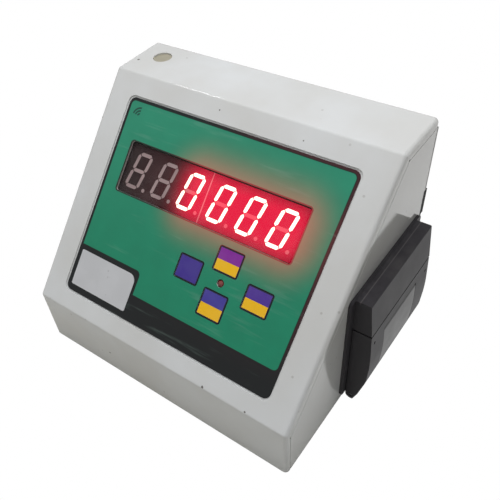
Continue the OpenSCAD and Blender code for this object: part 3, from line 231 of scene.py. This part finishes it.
def fine_grain():
    """Fine texture: a height, a soft mottle, sparse specks and scratches."""
    inputs = [PLACE, ("Size", VALUE, 0.001)]
    net, given, wanted = group("grain", inputs, ["Height", "Mottle", "Speck", "Scratch"])
    scale = {0: given["Vector"], "Scale": net.calc("DIVIDE", 1.0, given["Size"])}
    place = net.put("ShaderNodeVectorMath", scale, operation="SCALE").outputs[0]
    cells = net.put("ShaderNodeTexVoronoi", {"Vector": place, "Scale": 0.09}).outputs["Distance"]
    here_and_there = net.step(net.noise(place, 0.021, detail=1.0), 0.6, 0.66)
    lines = net.noise(net.stretch(place, (0.05, 0.9, 0.05)), 0.6, roughness=0.6)
    net.feed(wanted["Height"], net.noise(place, 1.0, detail=3.0, roughness=0.55))
    net.feed(wanted["Mottle"], net.noise(place, 0.035, detail=3.0))
    net.feed(wanted["Speck"], net.times(net.step(cells, 0.16, 0.08), here_and_there))
    net.feed(wanted["Scratch"], net.step(lines, 0.66, 0.75))
    return net.tree


def edge_wear():
    """Wear on edges, and dust that lies on what faces up."""
    net, given, wanted = group("wear", [PLACE], ["Edge", "Dust"])
    surface = net.put("ShaderNodeNewGeometry").outputs
    edge = net.step(surface["Pointiness"], 0.53, 0.62)
    ragged = net.step(net.noise(given["Vector"], 180.0, detail=3.0), 0.42, 0.6)
    faces_up = net.step(net.parts(surface["Normal"])[2], 0.35, 1.0)
    cloud = net.step(net.noise(given["Vector"], 60.0, detail=4.0, roughness=0.6), 0.4, 0.75)
    net.feed(wanted["Edge"], net.times(edge, ragged, clamp=True))
    net.feed(wanted["Dust"], net.times(faces_up, cloud, clamp=True))
    return net.tree


SLOPE_PLACE = slope_place()
ROUND_BOX = rounded_box()
GRAIN = fine_grain()
WEAR = edge_wear()

# Materials
# the mottle's range, the share of specks, and how much mottle and scratches change a roughness
MOTTLE_LOW = 0.3
MOTTLE_HIGH = 0.7
SPECK_SHARE = 0.4
MOTTLE_ROUGHNESS = 0.15
SCRATCH_ROUGHNESS = 0.08
DUST_COLOR = rgb(196, 190, 180)
BLACK = (0, 0, 0, 1)


def material(name):
    """A new material's net, with its place on the object and its surface."""
    made = bpy.data.materials.new(name)
    made.use_nodes = True
    net = Net(made.node_tree)
    net.material = made
    net.place = net.put("ShaderNodeTexCoord").outputs["Object"]
    net.surface = net.put("ShaderNodeOutputMaterial").inputs["Surface"]
    return net


def shade(net, color, roughness, height=None, bump=0.1, bump_depth=0.0001, metallic=0.0, specular=0.5,
          coat=0.0, glow=None, glow_strength=0.0):
    """Ends a material in one Principled shader and hands the material over."""
    inputs = {"Base Color": color, "Roughness": roughness, "Metallic": metallic,
              "Specular IOR Level": specular, "Coat Weight": coat}
    if height is not None:
        bumps = {"Height": height, "Strength": bump, "Distance": bump_depth}
        inputs["Normal"] = net.put("ShaderNodeBump", bumps).outputs[0]
    if glow is not None:
        inputs["Emission Color"] = glow
        inputs["Emission Strength"] = glow_strength
    net.feed(net.surface, net.put("ShaderNodeBsdfPrincipled", inputs).outputs[0])
    return net.material


def mottled(net, grain, dark, light):
    """Two colours that the grain's mottle blends."""
    return net.mix(net.step(grain["Mottle"], MOTTLE_LOW, MOTTLE_HIGH), dark, light)


def plain(name, color, roughness, metallic=0.0, size=0.0004, bump=0.15, mottle=0.12, dust=0.25,
          wear=0.3, specular=0.5, coat=0.0, marks=None):
    """A plain part's material: mottle, specks, worn edges, dust and marks of its own."""
    net = material(name)
    grain = net.use(GRAIN, Vector=net.place, Size=size)
    worn = net.use(WEAR, Vector=net.place)
    shown = mottled(net, grain, tuned(color, 1 - mottle), color)
    shown = net.mix(net.times(grain["Speck"], SPECK_SHARE), shown, tuned(color, 0.4))
    shown = net.mix(net.times(worn["Edge"], wear), shown, tuned(color, 1.8, 0.05))
    shown = net.mix(net.times(worn["Dust"], dust), shown, DUST_COLOR)
    if marks:
        shown = marks(net, shown)
    uneven = net.times(net.minus(grain["Mottle"], 0.5), MOTTLE_ROUGHNESS)
    scratched = net.times(grain["Scratch"], SCRATCH_ROUGHNESS)
    roughness = net.plus(net.plus(roughness, uneven, clamp=True), scratched, clamp=True)
    return shade(net, shown, roughness, grain["Height"], bump, size * 0.3, metallic, specular, coat)


# chips in the case's coating, where the photograph has them, each with its radius in millimetres
CHIPS = [(at(-100.2, 135.5, TOP_Z), 1.1), (at(106.6, 117.1, TOP_Z), 0.9), (at(-43.5, 0.0, 21.2), 0.9),
         (on_slope(-105.6, 135.9), 1.0), (on_slope(-15.1, 164.6), 0.7), (on_slope(46.6, 162.5), 0.6),
         (on_slope(44.4, 0.8), 1.1), (on_slope(76.9, 0.9), 0.8)]
CHIP_RAGGED = 1.2
CHIP_SOFT = 0.55


def powder_coat():
    """Pale powder-coated sheet steel with a little dust, specks and chips."""
    net = material("powder_coat")
    grain = net.use(GRAIN, Vector=net.place, Size=0.0006)
    worn = net.use(WEAR, Vector=net.place)
    fresh = rgb(222, 224, 224)
    aged = rgb(212, 212, 209)
    bare = rgb(62, 54, 46)
    shown = net.mix(net.step(net.noise(net.place, 14.0, detail=3.0), 0.3, 0.72), aged, fresh)
    shown = net.mix(net.times(worn["Dust"], 0.10), shown, rgb(200, 195, 184))
    shown = net.mix(net.times(grain["Speck"], 0.3), shown, rgb(120, 112, 100))
    ragged = net.minus(net.noise(net.place, 900.0), 0.5)
    chipped = 0.0
    for middle, radius in CHIPS:
        ends = {0: net.place, 1: tuple(middle)}
        away = net.put("ShaderNodeVectorMath", ends, operation="DISTANCE").outputs["Value"]
        away = net.plus(away, net.times(ragged, CHIP_RAGGED * radius * MM))
        chipped = net.larger(chipped, net.step(away, radius * MM, CHIP_SOFT * radius * MM))
    shown = net.mix(net.times(chipped, 0.85), shown, bare)
    roughness = net.plus(0.08, net.times(grain["Mottle"], 0.03))
    return shade(net, shown, roughness, grain["Height"], bump=0.06, bump_depth=0.00008)


# the printer's marks in millimetres: painted shade along its parting line and a painted highlight line on
# its top, both out from the side
PARTING_Z = 76.5
PARTING_SHADE_HALF = 1.1
PARTING_FROM = 13.2
HIGHLIGHT_LINE_OUT = 5.0
HIGHLIGHT_LINE_HALF = 0.5
PRINTER_TOP_Z = 100.0


def printer_marks(net, shown):
    """Painted shade along the parting line of the printer's outer face, and a painted highlight line on
    its top.
    """
    place = net.parts(net.place)
    out = net.minus(place[0], SIDE_X * MM)
    # painted shade: the outer face is darkened on both sides of the gap at its parting line
    from_parting = net.apart(place[2], PARTING_Z * MM)
    parting = net.times(net.step(from_parting, PARTING_SHADE_HALF * MM, 0.75 * MM),
                        net.step(out, PARTING_FROM * MM, (PARTING_FROM + 0.8) * MM))
    shown = net.mix(net.times(parting, 0.85), shown, rgb(14, 13, 14))
    # painted highlight: a lighter line along the printer's top
    from_highlight_line = net.apart(out, HIGHLIGHT_LINE_OUT * MM)
    line = net.times(net.step(from_highlight_line, HIGHLIGHT_LINE_HALF * MM, 0.15 * MM),
                     net.step(place[2], PRINTER_TOP_Z * MM, (PRINTER_TOP_Z + 1.5) * MM))
    return net.mix(net.times(line, 0.55), shown, rgb(96, 92, 92))


# The printed label, in millimetres across and up the slope
# boxes of the print: middle across and up, width, height and corner radius
FIELD = (0.5, 93.0, 169.8, 121.8, 3.0)
TAB = (-57.95, 31.5, 57.1, 34.2, 3.6)
WINDOW = (-2.6, 110.6, 141.0, 35.0, 1.8)
KEYS = {"upper_key": (29.5, 79.4, 17.8, 15.4, 1.0),
        "left_key": (4.5, 64.7, 17.8, 15.4, 1.0),
        "right_key": (57.1, 64.7, 17.8, 15.4, 1.0),
        "lower_key": (29.5, 50.1, 17.8, 17.2, 1.0)}
# half the softness of a printed edge
PRINT_EDGE = 0.15
# the corner of the three plain arcs, their radii and half the width of their lines
ARC_X = -74.8
ARC_S = 144.6
ARC_RADII = (1.6, 3.6, 5.6)
ARC_HALF = 0.75
# the lit digits: their middle across, half their width, their height, and where the halo is full
LIT_X = 24.0
LIT_HALF = 42.0
LIT_HEIGHT = 26.0
LIT_CORNER = 8.0
HALO_FULL = -6.0


def round_box(net, x, s, box):
    """The distance to a box of the print, negative inside it."""
    middle_x, middle_s, width, height, corner = box
    sizes = {"Middle X": middle_x, "Middle S": middle_s, "Half X": width / 2, "Half S": height / 2}
    return net.use(ROUND_BOX, X=x, S=s, Corner=corner, **sizes)["Distance"]


def halo(net, x, s, reach, shift=0.0, spread=0.0):
    """A soft mask for the painted glow round the four lit digits: 1 among them, 0 at its reach."""
    box = (LIT_X + shift, WINDOW[1], 2 * (LIT_HALF + spread), LIT_HEIGHT, LIT_CORNER)
    return net.step(round_box(net, x, s, box), reach, HALO_FULL)


def plain_arcs(net, x, s):
    """Three plain quarter arcs round one corner."""
    left = net.minus(ARC_X, x)
    up = net.minus(s, ARC_S)
    radius = net.length(left, up)
    turn = net.calc("ARCTAN2", up, left)
    quarter = net.times(net.step(turn, 0.12, 0.2), net.step(turn, 1.62, 1.54))
    rings = 0.0
    for ring in ARC_RADII:
        rings = net.larger(rings, net.step(net.apart(radius, ring), ARC_HALF, ARC_HALF - 0.3))
    return net.times(rings, quarter)


def label_print():
    """The printed film: green field, black outline and strip, and the borders of window and keys, with a
    painted red glow round the lit digits.
    """
    net = material("label_print")
    slope = net.use(SLOPE_PLACE, Vector=net.place)
    x = slope["X"]
    s = slope["S"]
    grain = net.use(GRAIN, Vector=net.place, Size=0.0005)
    black = rgb(20, 23, 24)
    green = net.mix(net.step(s, 30.0, 150.0), rgb(30, 137, 103), rgb(48, 144, 113))
    green = net.mix(net.step(grain["Mottle"], 0.25, 0.75), net.mix(0.08, green, BLACK), green)
    field = round_box(net, x, s, FIELD)
    shown = net.mix(net.step(field, PRINT_EDGE, -PRINT_EDGE), black, green)
    # painted glow: the black outline is tinted red where it passes the lit digits
    near_digits = net.times(net.step(x, -30.0, 60.0), net.step(s, 20.0, 80.0))
    outline_glow = net.times(net.step(field, 0.1, 0.9), near_digits)
    shown = net.mix(net.times(outline_glow, 0.3), shown, rgb(104, 40, 48))
    shown = net.mix(net.step(round_box(net, x, s, TAB), PRINT_EDGE, -PRINT_EDGE), shown, black)
    shown = net.mix(net.step(round_box(net, x, s, WINDOW), 1.0, 0.75), shown, rgb(40, 52, 44))
    for key in KEYS.values():
        shown = net.mix(net.step(round_box(net, x, s, key), 0.85, 0.6), shown, rgb(30, 34, 40))
    shown = net.mix(plain_arcs(net, x, s), shown, rgb(30, 70, 60))
    # light streaks from wiping
    streaks = net.noise(net.stretch(net.place, (6.0, 60.0, 60.0)), 3.0, detail=3.0, roughness=0.6)
    shown = net.mix(net.times(net.step(streaks, 0.58, 0.75), 0.10), shown, rgb(170, 200, 186))
    # painted glow: round the lit digits the green is greyed and glows red
    glow_halo = halo(net, x, s, reach=36.0, shift=1.0)
    shown = net.mix(net.times(glow_halo, 0.3), shown, rgb(66, 74, 66))
    glow = net.mix(net.calc("POWER", glow_halo, 2.2), BLACK, (1.0, 0.05, 0.06, 1.0))
    roughness = net.plus(0.34, net.times(grain["Mottle"], 0.12))
    return shade(net, shown, roughness, grain["Height"], bump=0.05, bump_depth=0.00008, specular=0.4,
                 glow=glow, glow_strength=0.42)


def key_print(name, key, top, bottom=None):
    """A key in one colour, or in two that meet a little below its middle."""
    net = material(name)
    slope = net.use(SLOPE_PLACE, Vector=net.place)
    grain = net.use(GRAIN, Vector=net.place, Size=0.0004)
    shown = top
    if bottom:
        meeting = KEYS[key][1] - 0.3
        shown = net.mix(net.step(slope["S"], meeting - PRINT_EDGE, meeting + PRINT_EDGE), bottom, top)
    mottle = net.step(grain["Mottle"], MOTTLE_LOW, MOTTLE_HIGH)
    shown = net.mix(net.times(mottle, 0.02), shown, (0.9, 0.9, 0.9, 1))
    border = net.step(round_box(net, slope["X"], slope["S"], KEYS[key]), -0.75, -0.5)
    shown = net.mix(border, shown, rgb(36, 40, 56))
    return shade(net, shown, 0.33, grain["Height"], bump=0.05, bump_depth=0.00008, specular=0.4)


# The display: the joint of its two modules and half the joint's width, in millimetres
JOINT_X = -4.2
JOINT_HALF = 0.55


def module_plastic():
    """The dark face of the LED modules, with a painted red glow round the lit digits."""
    net = material("module_plastic")
    slope = net.use(SLOPE_PLACE, Vector=net.place)
    x = slope["X"]
    s = slope["S"]
    grain = net.use(GRAIN, Vector=net.place, Size=0.0005)
    shown = mottled(net, grain, rgb(38, 28, 30), rgb(52, 40, 42))
    # painted glow: round the lit digits the face turns dark red and glows, with a faint wider halo
    near = net.calc("POWER", halo(net, x, s, reach=26.0), 2.4)
    far = net.times(halo(net, x, s, reach=60.0), 0.04)
    lit = net.plus(near, far, clamp=True)
    shown = net.mix(lit, shown, (0.05, 0.004, 0.01, 1))
    # the joint between the two modules is pale
    joint = net.times(net.step(net.apart(x, JOINT_X), JOINT_HALF, 0.3), 0.5)
    shown = net.mix(joint, shown, rgb(190, 150, 150))
    # the painted red glow turns pinker over the joint
    red = net.mix(joint, (1.0, 0.006, 0.06, 1.0), (1.0, 0.25, 0.3, 1.0))
    return shade(net, shown, 0.5, grain["Height"], specular=0.3, glow=net.mix(lit, BLACK, red),
                 glow_strength=0.85)


def milky_segments():
    """Unlit segments, with a painted red glow where they lie among the lit digits."""
    net = material("segments_milky")
    slope = net.use(SLOPE_PLACE, Vector=net.place)
    grain = net.use(GRAIN, Vector=net.place, Size=0.0004)
    # painted glow: unlit segments among the lit digits turn dark red and glow
    lit = net.calc("POWER", halo(net, slope["X"], slope["S"], reach=22.0, spread=-2.0), 2.0)
    shown = mottled(net, grain, rgb(178, 164, 166), rgb(190, 176, 178))
    shown = net.mix(lit, shown, (0.30, 0.06, 0.08, 1))
    glow = net.mix(lit, BLACK, (1.0, 0.07, 0.12, 1.0))
    return shade(net, shown, 0.45, grain["Height"], specular=0.3, glow=glow, glow_strength=0.95)


def glowing_segments():
    """Lit segments."""
    net = material("segments_glowing")
    uneven = net.step(net.noise(net.place, 300.0), MOTTLE_LOW, MOTTLE_HIGH)
    glow = net.mix(uneven, (1.0, 0.62, 0.52, 1), (1.0, 0.78, 0.68, 1))
    return shade(net, (0.8, 0.5, 0.4, 1), 0.4, glow=glow, glow_strength=2.6)


def window_film():
    """Clear film with a faint wiped haze, which mirrors a little on its outer side only."""
    net = material("window_film")
    smears = net.noise(net.place, 58.3, detail=3.0)
    clear = net.put("ShaderNodeBsdfTransparent", {0: (0.96, 0.93, 0.92, 1)}).outputs[0]
    glossy = {"Color": (0.3, 0.3, 0.3, 1), "Roughness": net.plus(0.12, net.times(smears, 0.12))}
    gloss = net.put("ShaderNodeBsdfGlossy", glossy).outputs[0]
    fresnel = net.put("ShaderNodeFresnel", {"IOR": 1.45}).outputs[0]
    outer = net.minus(1.0, net.put("ShaderNodeNewGeometry").outputs["Backfacing"])
    clean = {0: net.times(fresnel, outer), 1: clear, 2: gloss}
    clean = net.put("ShaderNodeMixShader", clean).outputs[0]
    haze = net.put("ShaderNodeBsdfDiffuse", {"Color": (0.8, 0.8, 0.8, 1)}).outputs[0]
    smeared = net.plus(net.times(net.step(smears, 0.4, 0.7), 0.015), 0.002)
    film = net.put("ShaderNodeMixShader", {0: smeared, 1: clean, 2: haze})
    net.feed(net.surface, film.outputs[0])
    return net.material


violet = rgb(136, 44, 156)
indigo = rgb(64, 46, 142)
blue = rgb(80, 50, 150)
pale_indigo = rgb(70, 62, 154)
yellow = rgb(250, 194, 28)

# each material with the pieces that it goes on
MADE_OF = [
    (powder_coat(),
     "front_cover left_side_panel right_side_panel rear_panel base_plate"),
    (label_print(), "front_label"),
    (key_print("key_violet_yellow", "upper_key", violet, yellow), "upper_key"),
    (key_print("key_indigo", "left_key", indigo), "left_key"),
    (key_print("key_blue_yellow", "right_key", blue, yellow), "right_key"),
    (key_print("key_indigo_yellow", "lower_key", pale_indigo, yellow), "lower_key"),
    (module_plastic(), "left_digit_module right_digit_module"),
    (glowing_segments(), "lit_segments"),
    (window_film(), "window_pane"),
    (milky_segments(), "unlit_segments"),
    (plain("plate_film", rgb(204, 205, 207), 0.35, size=0.0005, bump=0.06, mottle=0.05, dust=0.05),
     "name_plate"),
    (plain("cream_plug", rgb(166, 160, 141), 0.5, mottle=0.08), "top_plug"),
    (plain("rubber", rgb(34, 34, 34), 0.85, bump=0.3, dust=0.4), "rubber_feet"),
    (plain("zinc", rgb(196, 196, 190), 0.35, metallic=1.0, size=0.0003, dust=0.1),
     "case_screws board_nuts"),
    (plain("steel", rgb(182, 184, 186), 0.3, metallic=1.0, size=0.0003, dust=0.1),
     "board_sleeves board_spacers battery_strap printer_clamps door_pin latch_pin print_motor"),
    (plain("nickel", rgb(200, 198, 190), 0.22, metallic=1.0, size=0.0003, dust=0.08),
     "load_cell_socket serial_socket"),
    (plain("brass", rgb(206, 176, 104), 0.3, metallic=1.0, size=0.0003, dust=0.08),
     "inlet_pins motor_pinion"),
    (plain("board_green", rgb(30, 92, 54), 0.4, size=0.0006, bump=0.1, dust=0.2),
     "display_board main_board"),
    (plain("led_red", rgb(140, 60, 56), 0.2, bump=0.03, dust=0.05, coat=0.4), "status_led"),
    (plain("black_plastic", rgb(38, 38, 40), 0.5, bump=0.25, dust=0.3),
     "led_spacer key_switches power_inlet switch_housing switch_rocker fuse_body fuse_cap"),
    (plain("ivory_plastic", rgb(226, 222, 208), 0.45, dust=0.1),
     "upper_plunger left_plunger right_plunger lower_plunger"),
    (plain("chip_epoxy", rgb(42, 42, 44), 0.6, bump=0.3, dust=0.2), "board_chips"),
    (plain("capacitor_sleeve", rgb(40, 50, 96), 0.35, dust=0.15), "board_capacitors"),
    (plain("ribbon_pvc", rgb(166, 168, 170), 0.5, dust=0.1), "ribbon_cable"),
    (plain("core_laminate", rgb(112, 108, 104), 0.45, metallic=0.8, dust=0.15), "transformer_core"),
    (plain("coil_tape", rgb(206, 180, 90), 0.4, dust=0.1), "transformer_coil"),
    (plain("battery_abs", rgb(70, 74, 80), 0.5, bump=0.3), "battery"),
    (plain("sink_black", rgb(20, 20, 21), 0.7, dust=0.05, wear=0.1, specular=0.2), "heat_sink"),
    (plain("printer_plastic", rgb(50, 48, 51), 0.5, size=0.0005, bump=0.1, mottle=0.1, dust=0.03,
           wear=0.25, specular=0.25, marks=printer_marks),
     "printer_frame head_cover paper_door"),
    (plain("latch_plastic", rgb(66, 66, 66), 0.38, size=0.0005, bump=0.08, mottle=0.1, dust=0.03,
           wear=0.25, specular=0.45),
     "door_latch"),
    (plain("platen_rubber", rgb(48, 48, 50), 0.7, bump=0.2), "platen_roller"),
    (plain("gear_acetal", rgb(224, 224, 218), 0.4), "idler_gear"),
    (plain("head_ceramic", rgb(166, 160, 146), 0.25, metallic=0.5), "print_head"),
    (plain("roll_paper", rgb(238, 238, 234), 0.9, bump=0.1, dust=0.0), "paper_roll"),
]
bare_pieces = set(nodes)
for finish, pieces in MADE_OF:
    for name in pieces.split():
        nodes[name].data.materials.clear()
        nodes[name].data.materials.append(finish)
        bare_pieces.remove(name)
if bare_pieces:
    raise RuntimeError("no material: " + ", ".join(sorted(bare_pieces)))

# Soft edges on the CAD pieces, in millimetres
SOFT = {"front_cover": 0.35, "left_side_panel": 0.2, "right_side_panel": 0.2, "base_plate": 0.2,
        "printer_frame": 0.5, "head_cover": 0.7, "paper_door": 0.5, "door_latch": 0.35,
        "power_inlet": 0.3, "heat_sink": 0.2,
        "upper_key": 0.2, "left_key": 0.2, "right_key": 0.2, "lower_key": 0.2}
USUAL_SOFT = 0.12
# the flat rear panel with its many holes keeps sharp edges
CRISP = ("rear_panel",)
# an edge is one that bends by more than this
EDGE_ANGLE = math.radians(32)
WELD_REACH = 1e-6


def soften(name, piece):
    """Rounds a piece's edges a little and keeps its flat faces flat."""
    piece.data.polygons.foreach_set("use_smooth", [True] * len(piece.data.polygons))
    weld = piece.modifiers.new("weld", "WELD")
    weld.merge_threshold = WELD_REACH
    if name in CRISP:
        piece.data.set_sharp_from_angle(angle=EDGE_ANGLE)
    else:
        soft = piece.modifiers.new("soft", "BEVEL")
        soft.width = SOFT.get(name, USUAL_SOFT) * MM
        soft.segments = 2
        soft.limit_method = "ANGLE"
        soft.angle_limit = EDGE_ANGLE
        soft.use_clamp_overlap = True
    flat = piece.modifiers.new("flat_faces", "WEIGHTED_NORMAL")
    flat.mode = "FACE_AREA"
    flat.weight = 100
    flat.keep_sharp = True


for name, piece in nodes.items():
    soften(name, piece)

# Floor, backdrop and lamps
FLOOR_SIZE = 6.0
FLOOR_DROP = 0.0002
# the floor shows white in glossy faces from here on, out from the case's right side, in metres
MIRROR_FROM = -0.006
MIRROR_FULL = 0.038
WHITE = (1, 1, 1, 1)


def floor_white():
    """Floor that the camera sees white, and that takes the object's shadow for all other light."""
    net = material("floor_white")
    rays = net.put("ShaderNodeLightPath").outputs
    out = net.minus(net.parts(net.place)[0], SIDE_X * MM)
    mirrored = net.times(rays["Is Glossy Ray"], net.step(out, MIRROR_FROM, MIRROR_FULL))
    seen = net.larger(rays["Is Camera Ray"], mirrored)
    white = net.put("ShaderNodeEmission", {"Color": WHITE, "Strength": 1.0}).outputs[0]
    pale = net.put("ShaderNodeBsdfDiffuse", {"Color": (0.62, 0.607, 0.56, 1)}).outputs[0]
    net.feed(net.surface, net.put("ShaderNodeMixShader", {0: seen, 1: pale, 2: white}).outputs[0])
    return net.material


def studio_world():
    """World that the camera sees white, and that is a soft sky for all other light."""
    world = bpy.data.worlds.new("studio")
    world.use_nodes = True
    net = Net(world.node_tree)
    rays = net.put("ShaderNodeLightPath").outputs
    up = net.parts(net.put("ShaderNodeTexCoord").outputs["Generated"])[2]
    sky = net.mix(net.step(up, -0.1, 0.9), (0.60, 0.58, 0.56, 1), (0.95, 0.97, 1.0, 1))
    strength = net.plus(0.25, net.times(rays["Is Glossy Ray"], 0.4))
    soft = net.put("ShaderNodeBackground", {"Color": sky, "Strength": strength}).outputs[0]
    white = net.put("ShaderNodeBackground", {"Color": WHITE, "Strength": 1.0}).outputs[0]
    shown = net.put("ShaderNodeMixShader", {0: rays["Is Camera Ray"], 1: soft, 2: white}).outputs[0]
    net.feed(net.put("ShaderNodeOutputWorld").inputs[0], shown)
    return world


def lamp(name, place, target, size, watts, color, mirrored=False):
    """A rectangular lamp that points at its target. Only a mirrored one shows in glossy faces."""
    data = bpy.data.lights.new(name, "AREA")
    data.shape = "RECTANGLE"
    data.size, data.size_y = size
    data.energy = watts
    data.color = color
    made = bpy.data.objects.new(name, data)
    scene.collection.objects.link(made)
    made.location = place
    made.visible_glossy = mirrored
    made.rotation_euler = (Vector(target) - Vector(place)).to_track_quat("-Z", "Y").to_euler()


bpy.ops.mesh.primitive_plane_add(size=FLOOR_SIZE, location=(0, 0, -FLOOR_DROP))
floor = bpy.context.object
floor.name = "floor"
floor.data.materials.append(floor_white())
scene.world = studio_world()
lamp("ceiling", place=(0.06, 0.08, 0.88), target=(0, 0, 0.1), size=(0.5, 0.5), watts=4.65,
     color=(0.975, 0.98, 1.0))
lamp("front_left", place=(-0.4, -0.8, 0.24), target=(-0.05, 0, 0.06), size=(0.5, 0.4), watts=1.1,
     color=(1.0, 0.99, 0.97))
lamp("right_rear", place=(0.75, 0.45, 0.25), target=(0.1, 0, 0.08), size=(0.35, 0.35), watts=0.05,
     color=(1.0, 0.98, 0.95))
# a small lamp whose reflection lies in the fold between slope and top
lamp("fold_streak", place=(-0.556, 0.155, 0.887), target=(-0.04, 0.034, 0.17), size=(0.1, 0.1),
     watts=0.6, color=(1.0, 1.0, 1.0), mirrored=True)
